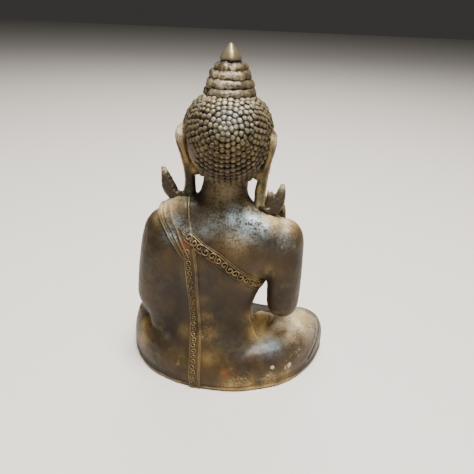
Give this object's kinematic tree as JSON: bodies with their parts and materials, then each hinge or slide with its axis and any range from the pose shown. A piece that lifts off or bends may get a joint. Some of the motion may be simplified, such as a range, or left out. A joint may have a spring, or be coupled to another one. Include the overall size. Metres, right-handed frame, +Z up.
{
  "type": "seated buddha statue",
  "caption": "Small cast brass seated Buddha with tiered topknot, curled hair, long ear lobes, a raised hand and a robe with ornamented bands, standing on its own flat underside.",
  "frame": {"origin": "on the underside, below the figure's own upright axis, which runs through the topknot's tip", "axes": "+Z up, -Y where the face looks, +Y the back, -X the figure's right side with the raised hand"},
  "size_m": [0.1173, 0.0802, 0.18],
  "materials": {
    "aged_brass": "dark brown patina, satin, worn bright on edges and ridges"
  },
  "bodies": {
    "root": {"buddha": "aged_brass"}
  },
  "joints": []
}
